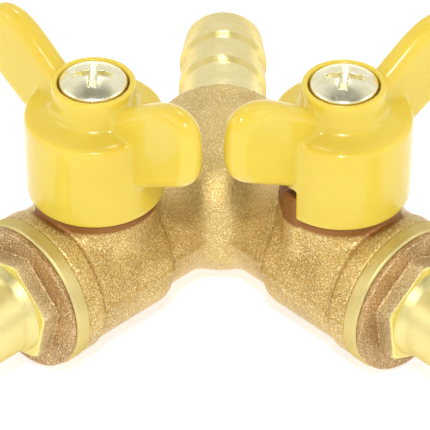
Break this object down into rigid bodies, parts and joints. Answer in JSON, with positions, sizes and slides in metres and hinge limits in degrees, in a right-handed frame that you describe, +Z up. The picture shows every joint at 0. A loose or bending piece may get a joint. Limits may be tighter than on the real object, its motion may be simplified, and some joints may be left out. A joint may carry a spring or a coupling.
{
  "type": "hose splitter",
  "caption": "Y-shaped brass hose splitter with a hose barb at each end and a quarter-turn ball valve with a butterfly handle in each outlet branch.",
  "frame": {"origin": "centre of the inlet barb's mouth, on the water way's axis", "axes": "+Y out of the inlet along its bore, +Z up along both valve stems, +X to the right when looking along +Y"},
  "size_m": [0.0802, 0.0686, 0.0379],
  "materials": {
    "forged_brass": "sandblasted forging",
    "machined_brass": "turned bright",
    "handle_paint": "glossy baked coating",
    "screw_steel": "yellow-passivated zinc plate",
    "ball_chrome": "polished",
    "seat_ptfe": "satin",
    "seal_rubber": "matt"
  },
  "bodies": {
    "body": {"valve_body": "forged_brass", "left_thrust_washer": "seat_ptfe", "left_inner_seat": "seat_ptfe", "left_outer_seat": "seat_ptfe", "left_end_cap": "machined_brass", "left_cap_ring": "seal_rubber", "right_thrust_washer": "seat_ptfe", "right_inner_seat": "seat_ptfe", "right_outer_seat": "seat_ptfe", "right_end_cap": "machined_brass", "right_cap_ring": "seal_rubber"},
    "left_valve": {"left_handle": "handle_paint", "left_handle_screw": "screw_steel", "left_lock_washer": "screw_steel", "left_stem": "machined_brass", "left_upper_stem_ring": "seal_rubber", "left_lower_stem_ring": "seal_rubber", "left_ball": "ball_chrome"},
    "right_valve": {"right_handle": "handle_paint", "right_handle_screw": "screw_steel", "right_lock_washer": "screw_steel", "right_stem": "machined_brass", "right_upper_stem_ring": "seal_rubber", "right_lower_stem_ring": "seal_rubber", "right_ball": "ball_chrome"}
  },
  "joints": [
    {"name": "left_valve_turn", "type": "hinge", "parent": "body", "child": "left_valve", "pos_m": [-0.01428, -0.04278, 0.012], "axis": [0, 0, 1], "range_deg": [-5, 90]},
    {"name": "right_valve_turn", "type": "hinge", "parent": "body", "child": "right_valve", "pos_m": [0.01428, -0.04278, 0.012], "axis": [0, 0, 1], "range_deg": [0, 95]}
  ]
}
